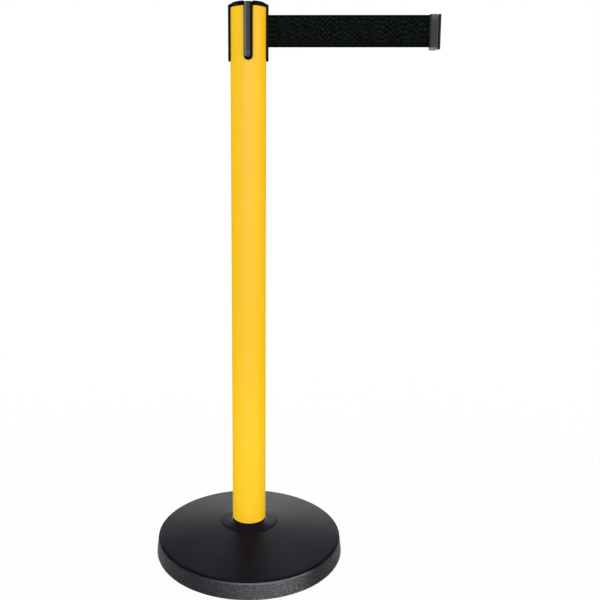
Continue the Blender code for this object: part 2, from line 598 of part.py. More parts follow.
def make_spool(black, steel, brass, webbing):
    drum = [
        (DRUM_BORE, DRUM_LOW), (SPOOL_RADIUS, DRUM_LOW), (SPOOL_RADIUS, DRUM_LOW + FLANGE_THICKNESS),
        (DRUM_RADIUS, DRUM_LOW + FLANGE_THICKNESS), (DRUM_RADIUS, SPOOL_TOP - FLANGE_THICKNESS),
        (SPOOL_RADIUS, SPOOL_TOP - FLANGE_THICKNESS), (SPOOL_RADIUS, SPOOL_TOP), (DRUM_BORE, SPOOL_TOP),
    ]
    turned_piece("spool_drum", drum, DRUM_STEPS, black)
    barrel_bore = SPOOL_RADIUS - BARREL_WALL
    barrel_floor = BARREL_LOW + BARREL_WALL
    barrel = [
        (DRUM_BORE, BARREL_LOW), (SPOOL_RADIUS, BARREL_LOW), (SPOOL_RADIUS, BARREL_TOP),
        (barrel_bore, BARREL_TOP), (barrel_bore, barrel_floor), (DRUM_BORE, barrel_floor),
    ]
    turned_piece("spring_barrel", barrel, DRUM_STEPS, black)
    lower_bush = ring(BUSH_BORE, BUSH_RADIUS, BARREL_LOW, barrel_floor)
    turned_piece("lower_bush", lower_bush, SMALL_STEPS, brass)
    upper_bush = ring(BUSH_BORE, BUSH_RADIUS, SPOOL_TOP - BUSH_LENGTH, SPOOL_TOP)
    turned_piece("upper_bush", upper_bush, SMALL_STEPS, brass)

    arbor_radius = BUSH_BORE + ARBOR_WALL
    arbor_low = barrel_floor + RUNNING_GAP
    arbor_top = BARREL_TOP - RUNNING_GAP
    turned_piece("spring_arbor", ring(BUSH_BORE, arbor_radius, arbor_low, arbor_top), SMALL_STEPS, steel)
    spring_low = (arbor_low + arbor_top - SPRING_WIDTH) / 2
    spring_top = spring_low + SPRING_WIDTH
    margin = GAP + SPRING_THICKNESS / 2
    coil = spiral(barrel_bore - margin, arbor_radius + margin, SPRING_PITCH, 0.0)
    spring, left, right = ribbon("power_spring", coil, SPRING_THICKNESS, spring_low, spring_top)
    report_least_gap("power_spring", left, right)
    place("power_spring", spring, steel)

    innermost = DRUM_RADIUS + GAP + BELT_THICKNESS / 2
    roll_end = LEAVE_ANGLE + GAP / ROLL_RADIUS
    loops = spiral(ROLL_RADIUS, innermost, ROLL_PITCH, roll_end)
    roll, left, right = ribbon("belt_roll", loops, BELT_THICKNESS, BELT_LOW, BELT_TOP)
    report_least_gap("belt_roll", left, right)
    place("belt_roll", roll, webbing)


def make_cap(black):
    funnel = CHANNEL_HALF + GAP + CAP_FUNNEL
    notch_half = CHANNEL_HALF + GAP
    outline = [(INSIDE_RADIUS - CAP_WALL, LID_TOP + GAP), (INSIDE_RADIUS, LID_TOP + GAP)]
    outline += [(INSIDE_RADIUS, CAP_UNDER), (CAP_RADIUS, CAP_UNDER)]
    outline += arc((CAP_RADIUS - CAP_EDGE, OVERALL_HEIGHT - CAP_EDGE), CAP_EDGE, 0, 90, EDGE_STEPS)
    outline += [(0.0, OVERALL_HEIGHT), (0.0, CAP_UNDER), (INSIDE_RADIUS - CAP_WALL, CAP_UNDER)]
    cap = turned_piece("top_cap", outline, TUBE_STEPS, black)
    back = CHANNEL_BACK - GAP
    narrow = CAP_RADIUS - CAP_FUNNEL
    wide = CAP_RADIUS + OVERCUT
    notch = [
        (back, -notch_half), (narrow, -notch_half), (wide, -funnel),
        (wide, funnel), (narrow, notch_half), (back, notch_half),
    ]
    notch_mesh = extruded("cap_notch", notch, LID_TOP, OVERALL_HEIGHT + OVERCUT)
    for turn in SIDES.values():
        boolean(cap, notch_mesh, "DIFFERENCE", turn)


def make_belt(webbing):
    """The belt from where it leaves the roll, round the guide pin and out to the hem in its clip."""
    rod_x = CLIP_START + CLIP_ROD_INSET
    hem_bore = CLIP_ROD_RADIUS + GAP
    line = [(ROLL_RADIUS * math.cos(LEAVE_ANGLE), ROLL_RADIUS * math.sin(LEAVE_ANGLE))]
    turn_start = 180 + math.degrees(LEAVE_ANGLE)
    line += arc((PIN_REACH, PIN_OFFSET), PIN_OFFSET, turn_start, 270)
    line += [(CHANNEL_FACE, 0.0), (CLIP_START, 0.0), (rod_x - CLIP_ROD_RADIUS, 0.0)]
    mesh, _, _ = ribbon("belt", line, BELT_THICKNESS, BELT_LOW, BELT_TOP)
    belt = place("belt", mesh, webbing)
    hem = extruded("hem", circle((rod_x, 0.0), hem_bore + BELT_THICKNESS), BELT_LOW, BELT_TOP)
    boolean(belt, hem, "UNION")
    bore = extruded("hem_bore", circle((rod_x, 0.0), hem_bore), BELT_LOW - OVERCUT, BELT_TOP + OVERCUT)
    boolean(belt, bore, "DIFFERENCE")


def make_clip(grey, steel):
    """Two halves that close on the belt's hem, each with half of the T nose that drops into a channel."""
    origin = bpy.data.objects.new("clip_slide", None)
    bpy.context.scene.collection.objects.link(origin)
    origin.location = (CLIP_START, 0.0, BELT_MIDDLE)

    rod_x = CLIP_ROD_INSET
    pocket = CLIP_ROD_RADIUS + GAP + BELT_THICKNESS + GAP
    mouth = BELT_THICKNESS / 2 + GAP
    parting = GAP / 2
    sleeve = CLIP_SLEEVE_THICKNESS / 2
    neck = CLIP_NECK_THICKNESS / 2
    nose = CLIP_NOSE_THICKNESS / 2
    neck_start = CLIP_SLEEVE_LENGTH
    nose_start = neck_start + CLIP_NECK_LENGTH
    tip = nose_start + CLIP_NOSE_LENGTH
    edge = CLIP_NOSE_ROUND
    pocket_in = 180 - math.degrees(math.asin(mouth / pocket))
    pocket_out = math.degrees(math.asin(parting / pocket))
    half = [(0.0, mouth), *arc((rod_x, 0.0), pocket, pocket_in, pocket_out, 2 * ARC_STEPS), (tip, parting)]
    half += arc((tip - edge, nose - edge), edge, 0, 90, EDGE_STEPS)
    half += arc((nose_start + edge, nose - edge), edge, 90, 180, EDGE_STEPS)
    half += [(nose_start, neck), (neck_start, neck), (neck_start, sleeve - edge / 2)]
    half += [(neck_start - edge / 2, sleeve), (edge / 2, sleeve), (0.0, sleeve - edge / 2)]

    low = CLIP_LOW - BELT_MIDDLE
    high = CLIP_TOP - BELT_MIDDLE
    screw_x = (rod_x + pocket + neck_start) / 2
    screw_heights = {"upper": CLIP_SCREW_SPREAD / 2, "lower": -CLIP_SCREW_SPREAD / 2}
    seat = sleeve - SCREW_HEAD_HEIGHT - 2 * GAP
    depth = sleeve - edge
    halves = {}
    for name, side in (("clip_back", 1.0), ("clip_front", -1.0)):
        outline = [(x, side * y) for x, y in half]
        halves[name] = place(name, extruded(name, outline, low, high), grey, origin)
    tab = box((0.0, -sleeve), (neck_start, CLIP_TAB_THICKNESS - sleeve))
    tab_tool = extruded("clip_tab", tab, low - CLIP_TAB_DROP, low + OVERCUT)
    boolean_at(halves["clip_front"], tab_tool, "UNION", origin)
    screw = make_screw("clip_screw", seat + depth - GAP)
    screw.transform(Matrix.Rotation(-math.pi / 2, 4, "X"))
    for name, height in screw_heights.items():
        axis = circle((screw_x, height), SCREW_HOLE, SCREW_STEPS)
        sink = circle((screw_x, height), SCREW_SINK, SCREW_STEPS)
        for obj in halves.values():
            boolean_at(obj, extruded("clip_hole", axis, -depth, seat + GAP, "Y"), "DIFFERENCE", origin)
        boolean_at(halves["clip_back"], extruded("clip_sink", sink, seat, sleeve + OVERCUT, "Y"),
                   "DIFFERENCE", origin)
        place(f"clip_screw_{name}", screw, steel, origin).location = (screw_x, seat, height)
    rod = ring(0.0, CLIP_ROD_RADIUS, -BELT_WIDTH / 2, BELT_WIDTH / 2)
    place("clip_rod", turned("clip_rod", rod, SMALL_STEPS), steel, origin).location = (rod_x, 0.0, 0.0)


def boolean_at(target, mesh, operation, parent):
    """As boolean, with the tool carried by the target's parent."""
    boolean(target, mesh, operation)
    target.modifiers[-1].object.parent = parent


def main():
    clear_scene()
    yellow = finish("yellow_plastic", (0.95, 0.55, 0.02), 0.42)
    cover_plastic = finish("cover_black", (0.018, 0.017, 0.02), 0.38)
    head_black = finish("head_black", (0.012, 0.012, 0.013), 0.42)
    rubber = finish("rim_rubber", (0.03, 0.03, 0.034), 0.85)
    grey = finish("clip_grey", (0.075, 0.07, 0.066), 0.5)
    webbing = finish("webbing_black", (0.006, 0.008, 0.008), 0.85)
    iron = finish("cast_iron", (0.09, 0.09, 0.095), 0.7, 1.0)
    steel = finish("zinc_steel", (0.55, 0.56, 0.58), 0.35, 1.0)
    brass = finish("bush_brass", (0.7, 0.5, 0.2), 0.4, 1.0)
    make_base(rubber, cover_plastic, iron, steel)
    make_post(yellow, head_black, steel)
    make_channels(head_black, steel)
    make_cassette(head_black, steel)
    make_spool(head_black, steel, brass, webbing)
    make_cap(head_black)
    make_belt(webbing)
    make_clip(grey, steel)


main()
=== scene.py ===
# %% [markdown]
# # A retractable-belt barrier post
#
# The post is a yellow plastic tube on a weighted black base. Its head has four upright channels: a belt
# comes out of the right-hand one, and the clips of other posts drop into the other three. The solids come
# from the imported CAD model, which stays where it is. This file adds what a photograph shows on top of
# them: finishes, softened edges, the woven belt, screw heads, light and the camera.

import json
import math

import bpy
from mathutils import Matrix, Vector


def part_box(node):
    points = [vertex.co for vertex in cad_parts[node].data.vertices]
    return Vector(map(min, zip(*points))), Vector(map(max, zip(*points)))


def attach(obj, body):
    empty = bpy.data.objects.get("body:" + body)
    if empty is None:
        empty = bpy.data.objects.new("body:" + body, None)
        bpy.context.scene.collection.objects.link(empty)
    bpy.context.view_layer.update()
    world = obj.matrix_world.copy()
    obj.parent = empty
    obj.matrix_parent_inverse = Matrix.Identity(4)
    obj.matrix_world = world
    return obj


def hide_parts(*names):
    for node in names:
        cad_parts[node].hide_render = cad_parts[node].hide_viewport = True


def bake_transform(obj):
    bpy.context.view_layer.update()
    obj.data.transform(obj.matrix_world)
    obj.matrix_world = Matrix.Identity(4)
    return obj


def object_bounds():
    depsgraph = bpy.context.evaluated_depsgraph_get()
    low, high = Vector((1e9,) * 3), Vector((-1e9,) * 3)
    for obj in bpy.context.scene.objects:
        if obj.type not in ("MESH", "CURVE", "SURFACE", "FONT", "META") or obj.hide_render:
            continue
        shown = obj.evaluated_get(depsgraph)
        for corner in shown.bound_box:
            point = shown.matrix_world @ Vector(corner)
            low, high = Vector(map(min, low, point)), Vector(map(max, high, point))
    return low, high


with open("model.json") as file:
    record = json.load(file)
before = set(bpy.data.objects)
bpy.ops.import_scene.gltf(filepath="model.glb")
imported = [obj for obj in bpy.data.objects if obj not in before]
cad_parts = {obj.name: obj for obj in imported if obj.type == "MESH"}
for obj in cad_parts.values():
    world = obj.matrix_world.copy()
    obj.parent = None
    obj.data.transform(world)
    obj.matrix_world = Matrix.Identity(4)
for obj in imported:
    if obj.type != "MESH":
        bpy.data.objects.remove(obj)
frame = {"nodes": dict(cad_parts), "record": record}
nodes = frame["nodes"]
cad_low, cad_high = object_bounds()
MM = 0.001

# %% [markdown]
# ## Camera
#
# The post's edges run upright and stay parallel, although it stands left of the middle. So the camera
# points straight along +Y, tilts down a little, and its lens is shifted sideways. The place and the focal
# length were fitted to the tube's taper and to the ellipses of the base and the head. The base's ellipse
# leans a little, which puts the camera slightly right of the post.

# %% Camera
CAMERA_PLACE = (0.011, -1.3463, 0.7744)
CAMERA_TILT_DOWN = 0.1571
CAMERA_ROLL = 0.0004
CAMERA_LENS_MM = 44.246
CAMERA_SHIFT = (0.0756, -0.06)

scene = bpy.context.scene
scene.view_settings.view_transform = "Standard"


def add_to_scene(name, data):
    obj = bpy.data.objects.new(name, data)
    scene.collection.objects.link(obj)
    return obj


camera = add_to_scene("photo_camera", bpy.data.cameras.new("photo_camera"))
camera.location = CAMERA_PLACE
camera.rotation_euler = (math.pi / 2 - CAMERA_TILT_DOWN, CAMERA_ROLL, 0.0)
camera.data.lens = CAMERA_LENS_MM
camera.data.shift_x, camera.data.shift_y = CAMERA_SHIFT
scene.camera = camera
print(f"camera {camera.data.lens:.1f} mm at {tuple(camera.location)}")

# %% [markdown]
# ## Stage and light
#
# A product picture has a white ground and very even light. The world is white where the camera looks at
# it, and dimmer as a lamp, so that the lamps still model the shapes. Reflections see what a studio shows
# them: a white backdrop behind the post and a dim room in front of it, which is what keeps the black
# plastic black. The floor gives part of its own white, so it stays white and still takes a soft shadow.

# %% Helpers for node trees


def wire(tree, kind, values=None, **settings):
    """Add a node, set its attributes, and fill its inputs with numbers or with links."""
    node = tree.nodes.new(kind)
    for key, value in settings.items():
        setattr(node, key, value)
    for socket, value in (values or {}).items():
        if isinstance(value, bpy.types.NodeSocket):
            tree.links.new(value, node.inputs[socket])
        else:
            node.inputs[socket].default_value = value
    return node


def maths(tree, operation, *values):
    return wire(tree, "ShaderNodeMath", dict(enumerate(values)), operation=operation).outputs[0]


def ray_masks(tree):
    """Two masks: 1 for camera and transmission rays, and 1 for glossy rays."""
    path = wire(tree, "ShaderNodeLightPath").outputs
    direct = maths(tree, "MAXIMUM", path["Is Camera Ray"], path["Is Transmission Ray"])
    return direct, path["Is Glossy Ray"]


def smooth_range(tree, value, start, end):
    """Smoothly from start[1] at start[0] to end[1] at end[0]."""
    return wire(tree, "ShaderNodeMapRange", {
        "Value": value, "From Min": start[0], "From Max": end[0], "To Min": start[1], "To Max": end[1],
    }, interpolation_type="SMOOTHSTEP").outputs[0]


def show_size(tree):
    print(f"{tree.name}: {len(tree.nodes)} nodes")


# %% World
WHITE = (1.0, 1.0, 1.0, 1.0)
AMBIENT = 0.52
DIM_ROOM = (0.45, 0.25)  # the Y of a direction, and how bright reflections see the room there
BACKDROP = (0.97, 1.0)
LEFT_SIDE = (-0.2, 0.7)  # the X of a direction, and the share of that brightness
RIGHT_SIDE = (0.2, 1.0)

world = bpy.data.worlds.new("white_studio")
world.use_nodes = True
scene.world = world
tree = world.node_tree
direct, mirrored = ray_masks(tree)
towards = wire(tree, "ShaderNodeTexCoord").outputs["Generated"]
split = wire(tree, "ShaderNodeSeparateXYZ", {"Vector": towards}).outputs
depth_light = smooth_range(tree, split["Y"], DIM_ROOM, BACKDROP)
side_light = smooth_range(tree, split["X"], LEFT_SIDE, RIGHT_SIDE)
room = maths(tree, "MULTIPLY", mirrored, maths(tree, "MULTIPLY", depth_light, side_light))
lamp_share = maths(tree, "MULTIPLY_ADD", maths(tree, "ADD", direct, mirrored), -AMBIENT, AMBIENT)
strength = maths(tree, "ADD", maths(tree, "ADD", direct, room), lamp_share)
tree.nodes["Background"].inputs["Color"].default_value = WHITE
tree.links.new(strength, tree.nodes["Background"].inputs["Strength"])
print(f"white world, ambient {AMBIENT}")

# %% Floor
FLOOR_HALF = 6.0
FLOOR_PAINT = (0.78, 0.78, 0.78, 1.0)
FLOOR_NEAR = (0.3, 0.96)  # distance from the post in m, and the share of its own white
FLOOR_FAR = (1.6, 1.0)
floor_mesh = bpy.data.meshes.new("floor")
sides = (-FLOOR_HALF, FLOOR_HALF)
floor_mesh.from_pydata([(x, y, 0.0) for x in sides for y in sides], [], [(0, 2, 3, 1)])
floor = add_to_scene("floor", floor_mesh)

floor_finish = bpy.data.materials.new("white_floor")
floor_finish.use_nodes = True
tree = floor_finish.node_tree
tree.nodes.clear()
paint = wire(tree, "ShaderNodeBsdfDiffuse", {"Color": FLOOR_PAINT})
own_white = wire(tree, "ShaderNodeEmission")
place = wire(tree, "ShaderNodeTexCoord").outputs["Object"]
reach = wire(tree, "ShaderNodeVectorMath", {0: place}, operation="LENGTH").outputs["Value"]
whiteness = smooth_range(tree, reach, FLOOR_NEAR, FLOOR_FAR)
share = maths(tree, "MULTIPLY", maths(tree, "ADD", *ray_masks(tree)), whiteness)
ground = wire(tree, "ShaderNodeMixShader", {0: share, 1: paint.outputs[0], 2: own_white.outputs[0]})
wire(tree, "ShaderNodeOutputMaterial", {"Surface": ground.outputs[0]})
floor_mesh.materials.append(floor_finish)
print(f"floor {2 * FLOOR_HALF:.0f} m square")

# %% Lamps


def softbox(name, place, aim, size, watts, spread=180):
    """A flat lamp. A small spread is the grid that keeps a softbox's light together."""
    data = bpy.data.lights.new(name, "AREA")
    data.shape = "RECTANGLE"
    data.size, data.size_y = size
    data.energy = watts
    data.spread = math.radians(spread)
    lamp = add_to_scene(name, data)
    lamp.visible_camera = False
    lamp.location = place
    lamp.rotation_euler = (Vector(aim) - Vector(place)).to_track_quat("-Z", "Y").to_euler()


softbox("front_band", place=(0.0, -3.0, 1.1), aim=(0.0, 0.0, 0.9), size=(4.2, 1.6), watts=42.0)
softbox("right_strip", place=(1.8, -0.84, 1.2), aim=(0.0, 0.0, 0.9), size=(0.2, 0.8), watts=5.0)
softbox("low_front", place=(0.0, -1.6, 0.15), aim=(0.0, 0.0, 0.0), size=(1.2, 0.2), watts=0.55, spread=34)
softbox("back_panel", place=(0.02, 1.8, 1.5), aim=(0.0, 0.0, 0.05), size=(1.2, 0.8), watts=22.0)
softbox("left_panel", place=(-2.0, 0.1, 1.0), aim=(0.0, 0.0, 0.6), size=(1.2, 1.6), watts=9.5)
softbox("right_panel", place=(2.2, -0.3, 0.9), aim=(0.0, 0.0, 0.5), size=(1.0, 1.6), watts=3.5)
print(f"{len(bpy.data.lights)} lamps")

# %% [markdown]
# ## Surface groups
#
# Most of the pieces are moulded plastic. Moulded plastic is never quite even: the mould's fine grain
# breaks up its gloss. It could be a picture laid on the surface, but these meshes have no UV map and a
# pattern made by nodes needs none. So that effect is one node group, placed in each plastic with its own
# grain size. The belt's weave and the rim's pebbles get groups of their own. The groups put out heights
# and tones only, and each material keeps its own Principled shader.

# %% Start of a shader group
FLOAT = "NodeSocketFloat"
VECTOR = "NodeSocketVector"


def surface_group(name, inputs):
    """A group that takes a Vector and sizes, and puts out a Height and a Tone."""
    group = bpy.data.node_groups.new(name, "ShaderNodeTree")
    group.interface.new_socket("Vector", in_out="INPUT", socket_type=VECTOR)
    for socket, value in inputs.items():
        group.interface.new_socket(socket, in_out="INPUT", socket_type=FLOAT).default_value = value
    for socket in ("Height", "Tone"):
        group.interface.new_socket(socket, in_out="OUTPUT", socket_type=FLOAT)
    return group, wire(group, "NodeGroupInput").outputs


# %% Moulded grain
grain, given = surface_group("moulded_grain", {"Grains per m": 900.0, "Clouds per m": 14.0})
fine = wire(grain, "ShaderNodeTexNoise", {
    "Vector": given["Vector"], "Scale": given["Grains per m"], "Detail": 2.0,
})
clouds = wire(grain, "ShaderNodeTexNoise", {
    "Vector": given["Vector"], "Scale": given["Clouds per m"], "Detail": 3.0,
})
wire(grain, "NodeGroupOutput", {"Height": fine.outputs["Fac"], "Tone": clouds.outputs["Fac"]})
show_size(grain)

# %% Pebbled skin
DUST_HEIGHT = 0.6  # beside a pebble's own height of 1
pebbles, given = surface_group("pebbled_skin", {"Pebbles per m": 420.0})
cells = wire(pebbles, "ShaderNodeTexVoronoi", {
    "Vector": given["Vector"], "Scale": given["Pebbles per m"],
}, feature="SMOOTH_F1")
dust = wire(pebbles, "ShaderNodeTexNoise", {
    "Vector": given["Vector"], "Scale": given["Pebbles per m"], "Detail": 4.0,
})
domes = maths(pebbles, "SUBTRACT", 1.0, cells.outputs["Distance"])
height = maths(pebbles, "MULTIPLY_ADD", dust.outputs["Fac"], DUST_HEIGHT, domes)
wire(pebbles, "NodeGroupOutput", {"Height": height, "Tone": dust.outputs["Fac"]})
show_size(pebbles)

# %% [markdown]
# ## Belt weave
#
# The belt is a plain weave of thick black yarn. It could be modelled yarn by yarn, but a yarn is about as
# wide as a pixel here, so the weave is a pattern of heights and tones instead. Its ribs stand upright
# across the belt, and each is a row of floats: stretches of yarn that pass over and under in turn. A rib's
# floats start at a height of their own. The tone is painted shade between the ribs, at the floats' ends
# and where a float passes under, and each float has a painted glint of its own random brightness. The
# tone also darkens towards both edges, and two bright yarns run along the lower one.

# %% Ribs and floats
START_SPREAD = 0.7  # in float lengths
FLOAT_END = 0.2  # height that is left at a float's ends
# Painted shade where a float passes under, and the painted glint that each float gets at random.
UNDER_SHADE = 0.8  # share of its tone that a float loses where it passes under
LEAST_GLINT = 0.34
GLINT_POWER = 1.2
weave, given = surface_group("belt_weave", {
    "Rib pitch": 2.3 * MM, "Float length": 4.4 * MM, "Half width": 27.5 * MM,
})
split = wire(weave, "ShaderNodeSeparateXYZ", {"Vector": given["Vector"]})
across = maths(weave, "DIVIDE", split.outputs["X"], given["Rib pitch"])
row = maths(weave, "FLOOR", across)
along = maths(weave, "DIVIDE", split.outputs["Y"], given["Float length"])
start = wire(weave, "ShaderNodeTexWhiteNoise", {"W": row}, noise_dimensions="1D").outputs["Value"]
shifted = maths(weave, "MULTIPLY_ADD", start, START_SPREAD, along)


def hump(value):
    """0 at each whole number and 1 half-way between."""
    return maths(weave, "SINE", maths(weave, "MULTIPLY", maths(weave, "FRACT", value), math.pi))


# As height, the ribs' round shape makes the bump; as tone, it is painted shade between the ribs and at the
# floats' ends.
floats = maths(weave, "MULTIPLY_ADD", hump(shifted), 1 - FLOAT_END, FLOAT_END)
ribs = maths(weave, "MULTIPLY", hump(across), floats)
order = maths(weave, "FLOOR", shifted)
cell = wire(weave, "ShaderNodeCombineXYZ", {"X": row, "Y": order})
noise = wire(weave, "ShaderNodeTexWhiteNoise", {"Vector": cell.outputs[0]}, noise_dimensions="2D")
chance = noise.outputs["Value"]
# Every second float passes under, and is painted in shade there.
under = maths(weave, "PINGPONG", maths(weave, "ADD", row, order), 1.0)
lit = maths(weave, "MULTIPLY_ADD", under, -UNDER_SHADE, 1.0)
# Each float's painted glint, of random brightness.
sparkle = maths(weave, "POWER", chance, GLINT_POWER)
glint = maths(weave, "MULTIPLY_ADD", sparkle, 1 - LEAST_GLINT, LEAST_GLINT)
weave_shade_and_glint = maths(weave, "MULTIPLY", ribs, maths(weave, "MULTIPLY", glint, lit))
show_size(weave)

# %% Belt edges
SELVEDGE = 3.6 * MM
SELVEDGE_DARK = 0.6  # share of it that is quite dark
EDGE_YARNS = 2.0
EDGE_YARN_PITCH = 3.4 * MM
EDGE_YARN_START = 3.1 * MM
EDGE_YARN_TONE = 0.68
EDGE_YARN_LEAST = 0.3  # share of that tone where a yarn is dullest
EDGE_YARN_POWER = 6.0  # a higher one makes thinner yarns
EDGE_YARN_HEIGHT = 0.5
from_edge = maths(weave, "ADD", given["Half width"], split.outputs["Y"])
count = maths(weave, "DIVIDE", maths(weave, "SUBTRACT", from_edge, EDGE_YARN_START), EDGE_YARN_PITCH)
in_yarns = maths(weave, "COMPARE", count, EDGE_YARNS / 2, EDGE_YARNS / 2)
yarns = maths(weave, "MULTIPLY", maths(weave, "POWER", hump(count), EDGE_YARN_POWER), EDGE_YARN_TONE)
uneven = maths(weave, "MULTIPLY_ADD", chance, 1 - EDGE_YARN_LEAST, EDGE_YARN_LEAST)


def along_edge(inside, edge):
    """One value on the yarns of the lower edge and another on the rest of the belt."""
    return wire(weave, "ShaderNodeMix", {0: in_yarns, 2: inside, 3: edge}).outputs[0]


to_edge = maths(weave, "SUBTRACT", given["Half width"], maths(weave, "ABSOLUTE", split.outputs["Y"]))
inside = smooth_range(weave, to_edge, (SELVEDGE_DARK * SELVEDGE, 0.0), (SELVEDGE, 1.0))
tone = along_edge(weave_shade_and_glint, maths(weave, "MULTIPLY", yarns, uneven))
wire(weave, "NodeGroupOutput", {
    "Height": along_edge(ribs, EDGE_YARN_HEIGHT), "Tone": maths(weave, "MULTIPLY", tone, inside),
})
show_size(weave)

# %% [markdown]
# ## Finishes
#
# Each finish could be wired by hand, but they differ only in their values. So one function makes them all,
# and a finish is short to write: a surface group, a colour and a roughness that drift with the group's
# tone, and a bump from its height. The colours are what the pieces look like in plain light.

# %% Finish maker


def object_place(tree):
    return wire(tree, "ShaderNodeTexCoord").outputs["Object"]


def finish(name, group, sizes, colours, roughness, bump, place=object_place, tones=(0.3, 0.7), **shader):
    """A material on a surface group. Colours and roughness run with its tone, bump is strength and depth."""
    material = bpy.data.materials.new(name)
    material.use_nodes = True
    tree = material.node_tree
    principled = tree.nodes["Principled BSDF"]
    for socket, value in shader.items():
        principled.inputs[socket.replace("_", " ")].default_value = value
    surface = wire(tree, "ShaderNodeGroup", node_tree=group, name="surface")
    tree.links.new(place(tree), surface.inputs["Vector"])
    for socket, value in sizes.items():
        surface.inputs[socket].default_value = value
    tone = surface.outputs["Tone"]
    ramp = wire(tree, "ShaderNodeValToRGB", {"Fac": tone})
    for element, colour, position in zip(ramp.color_ramp.elements, colours, tones):
        element.color = (*colour, 1.0)
        element.position = position
    tree.links.new(ramp.outputs["Color"], principled.inputs["Base Color"])
    rough = maths(tree, "MULTIPLY_ADD", tone, roughness[1] - roughness[0], roughness[0])
    tree.links.new(rough, principled.inputs["Roughness"])
    strength, depth = bump
    normal = wire(tree, "ShaderNodeBump", {
        "Height": surface.outputs["Height"], "Strength": strength, "Distance": depth,
    })
    tree.links.new(normal.outputs["Normal"], principled.inputs["Normal"])
    return material


# %% Finishes of the CAD pieces
finishes = {
    "yellow_plastic": finish(
        "yellow_plastic", grain, {"Grains per m": 700.0, "Clouds per m": 18.0},
        colours=((0.945, 0.558, 0.0185), (0.965, 0.578, 0.0215)),
        roughness=(0.38, 0.46), bump=(0.12, 0.2 * MM), Specular_IOR_Level=0.0, Coat_Roughness=0.4,
    ),
    "cover_black": finish(
        "cover_black", grain, {"Grains per m": 900.0, "Clouds per m": 16.0},
        colours=((0.0045, 0.0046, 0.0094), (0.0058, 0.0059, 0.0116)),
        roughness=(0.45, 0.55), bump=(0.15, 0.2 * MM), Specular_IOR_Level=0.02, Coat_Roughness=0.34,
    ),
    "head_black": finish(
        "head_black", grain, {"Grains per m": 1500.0, "Clouds per m": 40.0},
        colours=((0.0012, 0.0012, 0.001), (0.002, 0.002, 0.0017)),
        roughness=(0.3, 0.4), bump=(0.12, 0.1 * MM), Specular_IOR_Level=0.06, Coat_Roughness=0.2,
    ),
    "rim_rubber": finish(
        "rim_rubber", pebbles, {"Pebbles per m": 400.0},
        colours=((0.003, 0.0029, 0.0046), (0.022, 0.0215, 0.0275)),
        roughness=(0.4, 0.55), bump=(1.0, 1.2 * MM), Specular_IOR_Level=0.12,
    ),
    "clip_grey": finish(
        "clip_grey", grain, {"Grains per m": 1200.0, "Clouds per m": 60.0},
        colours=((0.03, 0.031, 0.026), (0.042, 0.042, 0.037)),
        roughness=(0.42, 0.52), bump=(0.12, 0.1 * MM), Specular_IOR_Level=0.2,
    ),
    "cast_iron": finish(
        "cast_iron", pebbles, {"Pebbles per m": 300.0},
        colours=((0.07, 0.07, 0.074), (0.12, 0.115, 0.11)),
        roughness=(0.6, 0.8), bump=(0.6, 0.5 * MM), Metallic=1.0,
    ),
    "zinc_steel": finish(
        "zinc_steel", grain, {"Grains per m": 2500.0, "Clouds per m": 120.0},
        colours=((0.52, 0.53, 0.55), (0.62, 0.62, 0.63)),
        roughness=(0.28, 0.42), bump=(0.1, 0.05 * MM), Metallic=1.0,
    ),
    "black_zinc": finish(
        "black_zinc", grain, {"Grains per m": 2500.0, "Clouds per m": 120.0},
        colours=((0.06, 0.08, 0.085), (0.1, 0.125, 0.13)),
        roughness=(0.26, 0.36), bump=(0.1, 0.05 * MM), Metallic=1.0,
    ),
    "bush_brass": finish(
        "bush_brass", grain, {"Grains per m": 2000.0, "Clouds per m": 90.0},
        colours=((0.62, 0.42, 0.16), (0.74, 0.54, 0.22)),
        roughness=(0.3, 0.42), bump=(0.1, 0.05 * MM), Metallic=1.0,
    ),
}
print(f"{len(finishes)} finishes")

# %% [markdown]
# ## Gloss and painted highlights
#
# A post that has been used isn't the same all over: clips polish its channels. The rim and the clip carry
# painted highlights where a lamp would catch them, and the clip's finger tab is paler. Such marks could be
# painted on a picture, but here they follow from the place on the object. So each is a mask made of Object
# coordinates, which mixes a second colour or more gloss into the finish. Two finishes also change their
# gloss with the angle at which they are seen.

# %% Gloss of the tube
# The tube shines face on and dulls towards its sides. A gloss has two ends: how far the surface turns away
# from the eye, and the weight of the gloss there.
TUBE_GLOSS = ((0.0, 0.66), (0.3, 0.0))


def gloss_by_angle(material, steep, low):
    tree = finishes[material].node_tree
    turned_away = wire(tree, "ShaderNodeLayerWeight").outputs["Facing"]
    return smooth_range(tree, turned_away, steep, low)


def set_gloss(material, weight):
    tree = finishes[material].node_tree
    tree.links.new(weight, tree.nodes["Principled BSDF"].inputs["Coat Weight"])


set_gloss("yellow_plastic", gloss_by_angle("yellow_plastic", *TUBE_GLOSS))
print("the tube shines face on")

# %% Gloss of the cover
# The cover does the reverse: its fine grain hides its gloss from above. At a low angle the grain closes up,
# and the cover mirrors the white backdrop. The collar round the tube's foot is a little glossier at its
# sides than the cone around it, so the larger of the two weights counts.
COVER_GLOSS = ((0.4, 0.09), (0.74, 0.52))
COLLAR_GLOSS = ((0.3, 0.0), (0.46, 0.36))
COLLAR_REACH = 23.5 * MM  # outside the tube
COLLAR_FADE = 4.0 * MM
LEVEL = (1.0, 1.0, 0.0)  # leaves the height out
collar_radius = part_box("post_tube")[1].x + COLLAR_REACH
tree = finishes["cover_black"].node_tree
level_place = wire(tree, "ShaderNodeVectorMath", {0: object_place(tree), 1: LEVEL}, operation="MULTIPLY")
from_axis = wire(tree, "ShaderNodeVectorMath", {0: level_place.outputs[0]}, operation="LENGTH")
fade_start = collar_radius - COLLAR_FADE
fade_end = collar_radius + COLLAR_FADE
on_collar = smooth_range(tree, from_axis.outputs["Value"], (fade_start, 1.0), (fade_end, 0.0))
